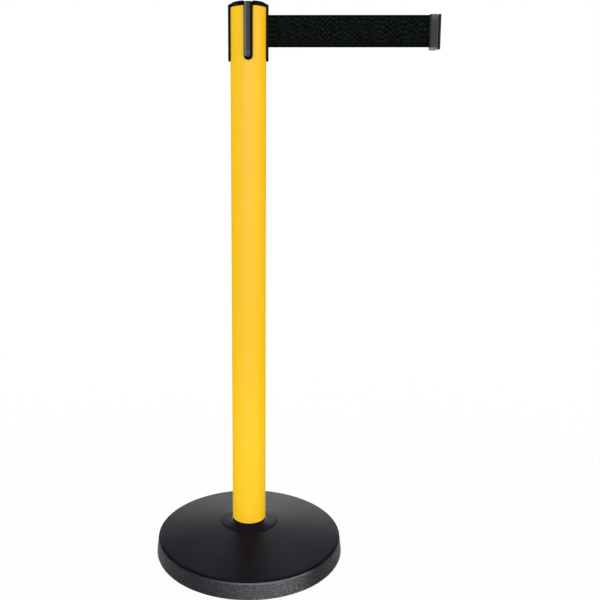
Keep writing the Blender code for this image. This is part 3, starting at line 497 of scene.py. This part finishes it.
collar_gloss = maths(tree, "MULTIPLY", on_collar, gloss_by_angle("cover_black", *COLLAR_GLOSS))
cover_gloss = gloss_by_angle("cover_black", *COVER_GLOSS)
set_gloss("cover_black", maths(tree, "MAXIMUM", cover_gloss, collar_gloss))
print(f"the cover shines at low angles, and its collar of {collar_radius / MM:.2f} mm radius more so")

# %% Polished channels
# Clips drop into the channels again and again and polish them, so the plastic is glossier there. The four
# channels are alike under a quarter turn: one mask on the shorter and longer side of (x, y) finds them all.
CHANNEL_INSIDE = 6.6 * MM
CHANNEL_BACK = 23.7 * MM
POLISH = 0.62
POLISH_FOOT = (2.5 * MM, 7.0 * MM)  # above a channel's foot
channel_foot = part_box("receiver_front")[0].z
tree = finishes["head_black"].node_tree
split = wire(tree, "ShaderNodeSeparateXYZ", {"Vector": object_place(tree)})
sideways = [maths(tree, "ABSOLUTE", split.outputs[axis]) for axis in "XY"]
narrow = maths(tree, "LESS_THAN", maths(tree, "MINIMUM", *sideways), CHANNEL_INSIDE)
outside = maths(tree, "GREATER_THAN", maths(tree, "MAXIMUM", *sideways), CHANNEL_BACK)
untouched, touched = (channel_foot + height for height in POLISH_FOOT)
reached = smooth_range(tree, split.outputs["Z"], (untouched, 0.0), (touched, POLISH))
in_channel = maths(tree, "MULTIPLY", narrow, outside)
set_gloss("head_black", maths(tree, "MULTIPLY", in_channel, reached))
print(f"channels polished from {untouched / MM:.1f} mm upwards")

# %% Painted highlight on the rim
# The rim's pebbles turn paler grey right of the front, and so does its upper edge there: a painted highlight
# where a lamp from the right front would catch them. Round the sides the rim stays dark.
# The pale grey of the painted highlight, the bearings between which it shows, and the pebbles' share of it.
HIGHLIGHT_GREY = (0.124, 0.123, 0.129, 1.0)
HIGHLIGHT_LEFT = (math.radians(-34), math.radians(27))  # bearings from -Y towards +X, from no scuffs to full
HIGHLIGHT_RIGHT = (math.radians(22), math.radians(45))  # and from full to none
LOW_PEBBLE = (0.3, 0.3)  # a pebble's tone, and its share of the scuffs
HIGH_PEBBLE = (0.7, 1.0)
# How far down the upper edge the painted highlight reaches, and how bright it is there.
RIM_EDGE_REACH = 1.6 * MM  # how far down the upper edge is worn
RIM_EDGE_HIGHLIGHT = 1.2


def mixed(tree, mask, colour, other, clamped=True):
    """The first colour where the mask is 0 and the other where it is 1."""
    return wire(tree, "ShaderNodeMix", {
        0: mask, 6: colour, 7: other,
    }, data_type="RGBA", clamp_factor=clamped).outputs[2]


tree = finishes["rim_rubber"].node_tree
principled = tree.nodes["Principled BSDF"]
rubber = principled.inputs["Base Color"].links[0].from_socket
split = wire(tree, "ShaderNodeSeparateXYZ", {"Vector": object_place(tree)}).outputs
bearing = maths(tree, "ARCTAN2", split["X"], maths(tree, "MULTIPLY", split["Y"], -1.0))
from_left = smooth_range(tree, bearing, (HIGHLIGHT_LEFT[0], 0.0), (HIGHLIGHT_LEFT[1], 1.0))
to_right = smooth_range(tree, bearing, (HIGHLIGHT_RIGHT[0], 1.0), (HIGHLIGHT_RIGHT[1], 0.0))
highlighted = maths(tree, "MINIMUM", from_left, to_right)
speckled = smooth_range(tree, tree.nodes["surface"].outputs["Tone"], LOW_PEBBLE, HIGH_PEBBLE)
rim_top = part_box("base_rim")[1].z
rim_edge_highlight = smooth_range(tree, split["Z"], (rim_top - 2 * RIM_EDGE_REACH, 0.0), (rim_top - RIM_EDGE_REACH, RIM_EDGE_HIGHLIGHT))
# Painted highlight on the pebbles right of the front, and along the upper edge there.
painted_highlight = maths(tree, "MULTIPLY", highlighted, maths(tree, "ADD", speckled, rim_edge_highlight))
tree.links.new(mixed(tree, painted_highlight, rubber, HIGHLIGHT_GREY), principled.inputs["Base Color"])
print(f"rim scuffed up to its edge at {rim_top / MM:.1f} mm")

# %% Tones of the clip
# Only the clip's sleeve is grey: the nose that slides into a channel is black, and the strip beside the belt
# is darker above the tab. The sleeve has painted highlights at its top and along its edge to the nose, where
# a bevel and a rounded edge would catch the light, and it is paler still on the finger tab below.
NOSE_LENGTH = 4.45 * MM
NOSE_BLACK = (0.005, 0.005, 0.0045, 1.0)
STRIP_WIDTH = 3.2 * MM
STRIP_BLACK = (0.018, 0.022, 0.022, 1.0)
# Pale grey for the painted highlights and the tab.
PALE_GREY = (0.13, 0.13, 0.115, 1.0)
# Painted highlight at the top: how far down it reaches, and its share of the pale grey there and at the top.
TOP_HIGHLIGHT_REACH = 9.5 * MM
TOP_HIGHLIGHT = (0.15, 0.9)  # the share of rubbed grey down there, and at the top
# The tab below the belt: how far down it is paler, and how much.
TAB_PALE_REACH = 1.5 * MM
TAB_PALE = 1.6  # more than 1: paler than the rubbed grey
# Painted highlight along the edge to the nose: its middle, its half width and its strength.
EDGE_HIGHLIGHT_MIDDLE = 1.2 * MM  # before the nose
EDGE_HIGHLIGHT_HALF = 0.8 * MM
EDGE_HIGHLIGHT = 0.6
clip_low, clip_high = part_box("clip_front")
belt_low, belt_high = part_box("belt")
nose_start = cad_high.x - NOSE_LENGTH
highlight_start = clip_high.z - TOP_HIGHLIGHT_REACH

tree = finishes["clip_grey"].node_tree
principled = tree.nodes["Principled BSDF"]
grey = principled.inputs["Base Color"].links[0].from_socket
split = wire(tree, "ShaderNodeSeparateXYZ", {"Vector": object_place(tree)}).outputs
# Painted highlights at the top and along the edge to the nose, and the paler tab.
top_highlight = smooth_range(tree, split["Z"], (highlight_start, TOP_HIGHLIGHT[0]), (clip_high.z, TOP_HIGHLIGHT[1]))
top_highlight = maths(tree, "MULTIPLY", top_highlight, maths(tree, "GREATER_THAN", split["Z"], highlight_start))
tab_pale = smooth_range(tree, split["Z"], (belt_low.z - TAB_PALE_REACH, TAB_PALE), (belt_low.z, 0.0))
on_edge = maths(tree, "COMPARE", split["X"], nose_start - EDGE_HIGHLIGHT_MIDDLE, EDGE_HIGHLIGHT_HALF)
edge_highlight = maths(tree, "MULTIPLY", on_edge, EDGE_HIGHLIGHT)
highlights_and_pale_tab = maths(tree, "MAXIMUM", maths(tree, "MAXIMUM", top_highlight, tab_pale), edge_highlight)
nose = maths(tree, "GREATER_THAN", split["X"], nose_start)
in_strip = maths(tree, "LESS_THAN", split["X"], clip_low.x + STRIP_WIDTH)
above_tab = maths(tree, "GREATER_THAN", split["Z"], belt_low.z)
beside_belt = maths(tree, "MULTIPLY", in_strip, above_tab)
sleeve = mixed(tree, highlights_and_pale_tab, grey, PALE_GREY, False)
sleeve = mixed(tree, beside_belt, sleeve, STRIP_BLACK)
tree.links.new(mixed(tree, nose, sleeve, NOSE_BLACK), principled.inputs["Base Color"])
print(f"clip with a black nose from {nose_start / MM:.1f} mm on")

# %% [markdown]
# ## Webbing
#
# The weave has to follow the belt. Outside the head the belt hangs straight, so its place along X and Z is
# enough. On the spool it runs in turns, so the tree that winds it stores how far along and across it each
# point is, and the finish reads that.

# %% Webbing
BELT_MIDDLE = (belt_low.z + belt_high.z) / 2


def belt_place(tree):
    """Along the belt and up it, from Object coordinates: the belt hangs upright along X."""
    split = wire(tree, "ShaderNodeSeparateXYZ", {"Vector": object_place(tree)})
    height = maths(tree, "SUBTRACT", split.outputs["Z"], BELT_MIDDLE)
    return wire(tree, "ShaderNodeCombineXYZ", {"X": split.outputs["X"], "Y": height}).outputs["Vector"]


def strip_place(tree):
    """Along a wound strip and across it, from what the strip's tree stores on its points."""
    along = wire(tree, "ShaderNodeAttribute", attribute_name="strip_along").outputs["Fac"]
    across = wire(tree, "ShaderNodeAttribute", attribute_name="strip_across").outputs["Fac"]
    return wire(tree, "ShaderNodeCombineXYZ", {"X": along, "Y": across}).outputs["Vector"]


def webbing(name, place):
    return finish(
        name, weave, {}, colours=((0.0001, 0.0004, 0.0003), (0.0255, 0.034, 0.0315)),
        roughness=(0.9, 0.7), bump=(0.7, 0.35 * MM), place=place, tones=(0.0, 1.0), Specular_IOR_Level=0.03,
    )


finishes["webbing_black"] = webbing("webbing_black", belt_place)
wound_webbing = webbing("wound_webbing", strip_place)

for subpart in frame["record"]["subparts"]:
    node = nodes[subpart["node"]]
    node.data.materials.clear()
    node.data.materials.append(finishes[subpart["material_slot"]])
print(f"{len(finishes)} finishes on {len(nodes)} nodes")

# %% [markdown]
# ## Softened edges
#
# A moulded edge is never sharp: it has a small round that catches the light. The CAD meshes are loose
# flat triangles, so a small node tree first joins them and lets them shade smoothly. Bevel then rounds
# what is still an edge. All of it stays in modifiers, because the CAD mesh itself isn't changed.

# %% Start of a geometry tree
GEOMETRY = "NodeSocketGeometry"
MATERIAL = "NodeSocketMaterial"


def geometry_tree(name, sizes=None, finished=False):
    """A tree with a Geometry input, named sizes and, where it makes a piece, a Finish."""
    tree = bpy.data.node_groups.new(name, "GeometryNodeTree")
    tree.interface.new_socket("Geometry", in_out="INPUT", socket_type=GEOMETRY)
    for socket, value in (sizes or {}).items():
        tree.interface.new_socket(socket, in_out="INPUT", socket_type=FLOAT).default_value = value
    if finished:
        tree.interface.new_socket("Finish", in_out="INPUT", socket_type=MATERIAL)
    tree.interface.new_socket("Geometry", in_out="OUTPUT", socket_type=GEOMETRY)
    return tree, wire(tree, "NodeGroupInput").outputs


# %% Joined shell
WELD = 0.01 * MM
joined, given = geometry_tree("joined_shell")
bare = wire(joined, "GeometryNodeRemoveAttribute", {
    "Geometry": given["Geometry"], "Name": "custom_normal",
})
whole = wire(joined, "GeometryNodeMergeByDistance", {"Geometry": bare.outputs[0], "Distance": WELD})
edges = wire(joined, "GeometryNodeSetShadeSmooth", {"Geometry": whole.outputs[0]}, domain="EDGE")
faces = wire(joined, "GeometryNodeSetShadeSmooth", {"Geometry": edges.outputs[0]}, domain="FACE")
wire(joined, "NodeGroupOutput", {"Geometry": faces.outputs[0]})
show_size(joined)

# %% Edge rounds
EDGE_ANGLE = math.radians(30)
EDGE_SEGMENTS = 3
FLAT_ANGLE = math.radians(0.1)
EDGE_ROUNDS = {  # in mm
    "post_tube": 0.35, "top_cap": 0.5, "belt_exit": 0.35,
    "receiver_front": 0.35, "receiver_left": 0.35, "receiver_back": 0.35,
    "base_cover": 0.4, "base_rim": 0.5, "floor_pad": 0.5, "clip_front": 0.35, "clip_back": 0.35,
}


def soften(node, width):
    shell = node.modifiers.new("joined_shell", "NODES")
    shell.node_group = joined
    flats = node.modifiers.new("flat_faces", "DECIMATE")
    flats.decimate_type = "DISSOLVE"
    flats.angle_limit = FLAT_ANGLE
    rounds = node.modifiers.new("edge_rounds", "BEVEL")
    rounds.width = width
    rounds.segments = EDGE_SEGMENTS
    rounds.limit_method = "ANGLE"
    rounds.angle_limit = EDGE_ANGLE
    node.modifiers.new("face_weights", "WEIGHTED_NORMAL")


for name, width in EDGE_ROUNDS.items():
    soften(nodes[name], width * MM)
print(f"{len(EDGE_ROUNDS)} nodes with softened edges")

# %% [markdown]
# ## Belt, roll and spring
#
# Three pieces are flat strips that stand on edge: the belt on its way out, the rest of it wound on the
# spool, and the steel spring that winds it back. Each could be built point by point, but only their lines
# differ. So one node tree makes them all: it takes a line, lays a thin section along it and keeps how far
# along and across the strip each point is, which the weave of the wound part needs.

# %% Strip line
strip, given = geometry_tree("strip_on_edge", {
    "Width": 55.0 * MM, "Thickness": 0.55 * MM, "Spacing": 2.0 * MM, "Cuts": 12.0, "Thicker edge": 0.0,
}, True)
line = wire(strip, "GeometryNodeMeshToCurve", {"Mesh": given["Geometry"]})
line = wire(strip, "GeometryNodeResampleCurve", {
    "Curve": line.outputs[0], "Length": given["Spacing"],
}, mode="LENGTH")
line = wire(strip, "GeometryNodeSetCurveNormal", {"Curve": line.outputs[0]}, mode="Z_UP")
line = wire(strip, "GeometryNodeStoreNamedAttribute", {
    "Geometry": line.outputs[0], "Name": "strip_along",
    "Value": wire(strip, "GeometryNodeSplineParameter").outputs["Length"],
}, data_type="FLOAT", domain="POINT")
show_size(strip)

# %% Strip section
# The section lies flat: its X is the strip's thickness and its Y the strip's width. A selvedge is thicker.
SELVEDGE_SHARPNESS = 18.0
section = wire(strip, "GeometryNodeCurvePrimitiveQuadrilateral", {
    "Width": given["Thickness"], "Height": given["Width"],
})
section = wire(strip, "GeometryNodeSubdivideCurve", {"Curve": section.outputs[0], "Cuts": given["Cuts"]})
position = wire(strip, "GeometryNodeInputPosition").outputs[0]
spot = wire(strip, "ShaderNodeSeparateXYZ", {"Vector": position})
half_width = maths(strip, "MULTIPLY", given["Width"], 0.5)
outwards = maths(strip, "DIVIDE", maths(strip, "ABSOLUTE", spot.outputs["Y"]), half_width)
at_edge = maths(strip, "POWER", outwards, SELVEDGE_SHARPNESS)
swell = maths(strip, "MULTIPLY", at_edge, given["Thicker edge"])
swollen = wire(strip, "ShaderNodeCombineXYZ", {"X": maths(strip, "MULTIPLY", spot.outputs["X"], swell)})
section = wire(strip, "GeometryNodeSetPosition", {
    "Geometry": section.outputs[0], "Offset": swollen.outputs["Vector"],
})
section = wire(strip, "GeometryNodeStoreNamedAttribute", {
    "Geometry": section.outputs[0], "Name": "strip_across", "Value": spot.outputs["Y"],
}, data_type="FLOAT", domain="POINT")
show_size(strip)

# %% Strip body
CORNER_ANGLE = math.radians(40)
body = wire(strip, "GeometryNodeCurveToMesh", {
    "Curve": line.outputs[0], "Profile Curve": section.outputs[0], "Fill Caps": True,
})
corner = wire(strip, "FunctionNodeCompare", {
    0: wire(strip, "GeometryNodeInputMeshEdgeAngle").outputs["Unsigned Angle"], 1: CORNER_ANGLE,
}, data_type="FLOAT", operation="GREATER_THAN")
body = wire(strip, "GeometryNodeSetShadeSmooth", {
    "Geometry": body.outputs[0], "Selection": corner.outputs[0], "Shade Smooth": False,
}, domain="EDGE")
body = wire(strip, "GeometryNodeRealizeInstances", {"Geometry": body.outputs[0]})
body = wire(strip, "GeometryNodeSetMaterial", {"Geometry": body.outputs[0], "Material": given["Finish"]})
wire(strip, "NodeGroupOutput", {"Geometry": body.outputs[0]})
show_size(strip)

# %% Running a tree


def grown(name, seed_mesh, tree, **values):
    """Run a tree on a seed mesh and keep the result as a plain mesh at the origin."""
    seed = add_to_scene(f"{name}_seed", seed_mesh)
    modifier = seed.modifiers.new(tree.name, "NODES")
    modifier.node_group = tree
    sockets = [item for item in tree.interface.items_tree if item.in_out == "INPUT"]
    for socket in sockets:
        key = socket.name.replace(" ", "_").lower()
        if key in values:
            modifier[socket.identifier] = values[key]
    graph = bpy.context.evaluated_depsgraph_get()
    mesh = bpy.data.meshes.new_from_object(seed.evaluated_get(graph))
    mesh.name = name
    bpy.data.objects.remove(seed, do_unlink=True)
    piece = add_to_scene(name, mesh)
    print(f"{name}: {len(mesh.vertices)} points, {len(mesh.polygons)} faces")
    return piece


def path(name, points, height):
    """A seed mesh: one open line through (x, y) points at one height."""
    mesh = bpy.data.meshes.new(name)
    links = [(n, n + 1) for n in range(len(points) - 1)]
    mesh.from_pydata([(x, y, height) for x, y in points], links, [])
    return mesh


def line_length(points):
    return sum(math.dist(a, b) for a, b in zip(points, points[1:]))


def polar(radius, angle):
    return radius * math.cos(angle), radius * math.sin(angle)


def bend(centre, radius, start, end, steps):
    """Points along a round, from one angle to another."""
    spokes = [polar(radius, start + (end - start) * n / steps) for n in range(steps + 1)]
    return [(centre.x + x, centre.y + y) for x, y in spokes]


def winding(outer, inner, pitch, start, steps):
    """Points of a flat spiral, from its outer end inwards."""
    count = int((outer - inner) / pitch * steps)
    turns = [n / steps for n in range(count + 1)]
    return [polar(outer - pitch * t, start + math.tau * t) for t in turns]


# %% Belt
# The belt leaves the roll, turns round a guide pin, runs out straight, and folds back round the clip's rod.
BELT_WIDTH = belt_high.z - belt_low.z
BELT_THICKNESS = 0.55 * MM
SEAT_GAP = 0.3 * MM
ROLL_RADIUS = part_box("spool_drum")[1].x - SEAT_GAP - BELT_THICKNESS / 2
PIN_STEPS = 12
RUN_STEPS = 24
HEM_STEPS = 24
HEM_TURN = 1.425 * MM  # radius round the rod
HEM_ANGLE = 0.75 * math.pi
HEM_LAP = 3.2 * MM
HEM_LAYER = 1.2 * BELT_THICKNESS  # from the belt to its hem


def middle_of(node):
    low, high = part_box(node)
    return (low + high) / 2


pin = middle_of("guide_pin_back")
rod = middle_of("clip_rod")
pin_turn = pin.y
leave_angle = math.atan2(pin.y, pin.x) + math.acos((ROLL_RADIUS + pin_turn) / math.hypot(pin.x, pin.y))
hem_start = rod.x - 2.0 * HEM_TURN
route = [polar(ROLL_RADIUS, leave_angle)]
route += bend(pin, pin_turn, math.pi + leave_angle, 1.5 * math.pi, PIN_STEPS)
route += [(pin.x + (hem_start - pin.x) * n / RUN_STEPS, 0.0) for n in range(1, RUN_STEPS + 1)]
route += bend(rod, HEM_TURN, -HEM_ANGLE, HEM_ANGLE, HEM_STEPS)
route += [(hem_start, HEM_LAYER), (rod.x - HEM_LAP - HEM_TURN, HEM_LAYER)]

belt = grown(
    "woven_belt", path("belt_path", route, BELT_MIDDLE), strip,
    width=BELT_WIDTH, thickness=BELT_THICKNESS, spacing=1.0 * MM, cuts=14.0, thicker_edge=0.35,
    finish=finishes["webbing_black"],
)
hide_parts("belt")
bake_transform(belt)

# %% Wound belt
# Webbing packs down where it is wound, so the turns are thinner than the belt outside.
ROLL_PITCH = 0.545 * MM
ROLL_STEPS = 48
WOUND_THICKNESS = 0.48 * MM
DRUM_REACH = 8.2 * MM
roll_start = leave_angle + SEAT_GAP / ROLL_RADIUS
roll_line = winding(ROLL_RADIUS, DRUM_REACH, ROLL_PITCH, roll_start, ROLL_STEPS)
wound = grown(
    "wound_belt", path("roll_path", roll_line, BELT_MIDDLE), strip,
    width=BELT_WIDTH, thickness=WOUND_THICKNESS, spacing=1.2 * MM, cuts=1.0, finish=wound_webbing,
)
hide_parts("belt_roll")
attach(wound, "spool")

# %% Spring
SPRING_THICKNESS = 0.35 * MM
SPRING_PITCH = 0.66 * MM
SPRING_STEPS = 40
ARBOR_REACH = 5.9 * MM
spring_low, spring_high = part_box("power_spring")
spring_radius = spring_high.x - SPRING_THICKNESS / 2
spring_line = winding(spring_radius, ARBOR_REACH, SPRING_PITCH, 0.0, SPRING_STEPS)
spring = grown(
    "coiled_spring", path("spring_path", spring_line, (spring_low.z + spring_high.z) / 2), strip,
    width=spring_high.z - spring_low.z, thickness=SPRING_THICKNESS, spacing=1.4 * MM, cuts=0.0,
    finish=finishes["zinc_steel"],
)
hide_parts("power_spring")
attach(spring, "post")
print(f"spring strip of {line_length(spring_line):.2f} m")

# %% [markdown]
# ## Screws
#
# Small pan-head screws hold the channels, the cassette's lid and the two halves of the clip. Each could be
# modelled where it sits, but they are all the same apart from their length. So one node tree makes a screw,
# cuts its cross recess and sets a copy on each point of a seed mesh, along the point's own aim.

# %% Screw head
HEAD_HEIGHT = 1.5 * MM
ROUND_STEPS = 32
DOME_STEPS = 6
DOME_SHRINK = 0.55
DOME_POWER = 2.5
screw, given = geometry_tree("pan_head_screw", {
    "Head radius": 2.4 * MM, "Head height": HEAD_HEIGHT,
    "Shank radius": 1.25 * MM, "Shank length": 10.0 * MM,
    "Recess reach": 2.9 * MM, "Recess width": 0.62 * MM, "Recess depth": 0.8 * MM,
}, True)
head = wire(screw, "GeometryNodeMeshCylinder", {
    "Vertices": ROUND_STEPS, "Side Segments": DOME_STEPS, "Radius": given["Head radius"],
    "Depth": given["Head height"],
})
position = wire(screw, "GeometryNodeInputPosition").outputs[0]
spot = wire(screw, "ShaderNodeSeparateXYZ", {"Vector": position})
lift = maths(screw, "ADD", maths(screw, "DIVIDE", spot.outputs["Z"], given["Head height"]), 0.5)
shrink = maths(screw, "MULTIPLY", DOME_SHRINK, maths(screw, "POWER", lift, DOME_POWER))
round_off = maths(screw, "SQRT", maths(screw, "SUBTRACT", 1.0, shrink))
domed = wire(screw, "ShaderNodeCombineXYZ", {
    "X": maths(screw, "MULTIPLY", spot.outputs["X"], round_off),
    "Y": maths(screw, "MULTIPLY", spot.outputs["Y"], round_off),
    "Z": maths(screw, "MULTIPLY", lift, given["Head height"]),
})
head = wire(screw, "GeometryNodeSetPosition", {
    "Geometry": head.outputs["Mesh"], "Position": domed.outputs[0],
})
show_size(screw)

# %% Screw shank
SHANK_OVERLAP = 0.3 * MM
shank = wire(screw, "GeometryNodeMeshCylinder", {
    "Vertices": ROUND_STEPS // 2, "Radius": given["Shank radius"], "Depth": given["Shank length"],
})
sink = maths(screw, "MULTIPLY_ADD", given["Shank length"], -0.5, SHANK_OVERLAP)
shank = wire(screw, "GeometryNodeTransform", {
    "Geometry": shank.outputs["Mesh"],
    "Translation": wire(screw, "ShaderNodeCombineXYZ", {"Z": sink}).outputs[0],
})
solid = wire(screw, "GeometryNodeMeshBoolean", operation="UNION", solver="EXACT")
for part in (head, shank):
    screw.links.new(part.outputs[0], solid.inputs["Mesh 2"])
show_size(screw)

# %% Cross recess
cutters = []
for along, over in (("X", "Y"), ("Y", "X")):
    size = wire(screw, "ShaderNodeCombineXYZ", {
        along: given["Recess reach"], over: given["Recess width"],
        "Z": maths(screw, "MULTIPLY", given["Recess depth"], 2.0),
    })
    bar = wire(screw, "GeometryNodeMeshCube", {"Size": size.outputs[0]})
    cutters.append(wire(screw, "GeometryNodeTransform", {
        "Geometry": bar.outputs["Mesh"],
        "Translation": wire(screw, "ShaderNodeCombineXYZ", {"Z": given["Head height"]}).outputs[0],
    }))
recessed = wire(screw, "GeometryNodeMeshBoolean", {
    "Mesh 1": solid.outputs[0],
}, operation="DIFFERENCE", solver="EXACT")
for cutter in cutters:
    screw.links.new(cutter.outputs[0], recessed.inputs["Mesh 2"])
show_size(screw)

# %% Screws on their points
SPIN_SEED = 7
aim = wire(screw, "GeometryNodeInputNamedAttribute", {"Name": "aim"}, data_type="FLOAT_VECTOR")
along_aim = wire(screw, "FunctionNodeAlignRotationToVector", {"Vector": aim.outputs[0]}, axis="Z")
spin = wire(screw, "FunctionNodeRandomValue", {
    "Min": 0.0, "Max": math.tau, "Seed": SPIN_SEED,
}, data_type="FLOAT")
spin_about = wire(screw, "ShaderNodeCombineXYZ", {"Z": spin.outputs[1]})
spin_turn = wire(screw, "FunctionNodeEulerToRotation", {"Euler": spin_about.outputs[0]})
turned = wire(screw, "FunctionNodeRotateRotation", {
    "Rotation": along_aim.outputs[0], "Rotate By": spin_turn.outputs[0],
}, rotation_space="LOCAL")
copies = wire(screw, "GeometryNodeInstanceOnPoints", {
    "Points": given["Geometry"], "Instance": recessed.outputs[0], "Rotation": turned.outputs[0],
})
copies = wire(screw, "GeometryNodeRealizeInstances", {"Geometry": copies.outputs[0]})
copies = wire(screw, "GeometryNodeSetMaterial", {
    "Geometry": copies.outputs[0], "Material": given["Finish"],
})
wire(screw, "NodeGroupOutput", {"Geometry": copies.outputs[0]})
show_size(screw)

# %% Screws in place
# A screw's place and length come from the box of its CAD node: the head is at the end that its aim names.


def seat_of(node, aim):
    """Where the head's underside lies, and the length of the shank under it."""
    low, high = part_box(node)
    aim = Vector(aim)
    length = abs((high - low).dot(aim))
    return middle_of(node) + aim * (length / 2 - HEAD_HEIGHT), length - HEAD_HEIGHT


def screws(name, body, aims, plating):
    seats = [seat_of(node, aim) for node, aim in aims.items()]
    mesh = bpy.data.meshes.new(f"{name}_points")
    mesh.from_pydata([seat for seat, _ in seats], [], [])
    column = mesh.attributes.new("aim", "FLOAT_VECTOR", "POINT")
    column.data.foreach_set("vector", [x for aim in aims.values() for x in aim])
    piece = grown(name, mesh, screw, shank_length=seats[0][1] + SHANK_OVERLAP, finish=finishes[plating])
    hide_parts(*aims)
    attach(piece, body)


screws("channel_screws", "post", {
    "receiver_screw_exit": (1, 0, 0), "receiver_screw_back": (0, 1, 0),
    "receiver_screw_left": (-1, 0, 0), "receiver_screw_front": (0, -1, 0),
}, "black_zinc")
screws("lid_screws", "post", {f"lid_screw_{n}": (0, 0, 1) for n in range(1, 5)}, "zinc_steel")
screws("clip_screws", "belt_end", {
    "clip_screw_upper": (0, 1, 0), "clip_screw_lower": (0, 1, 0),
}, "black_zinc")
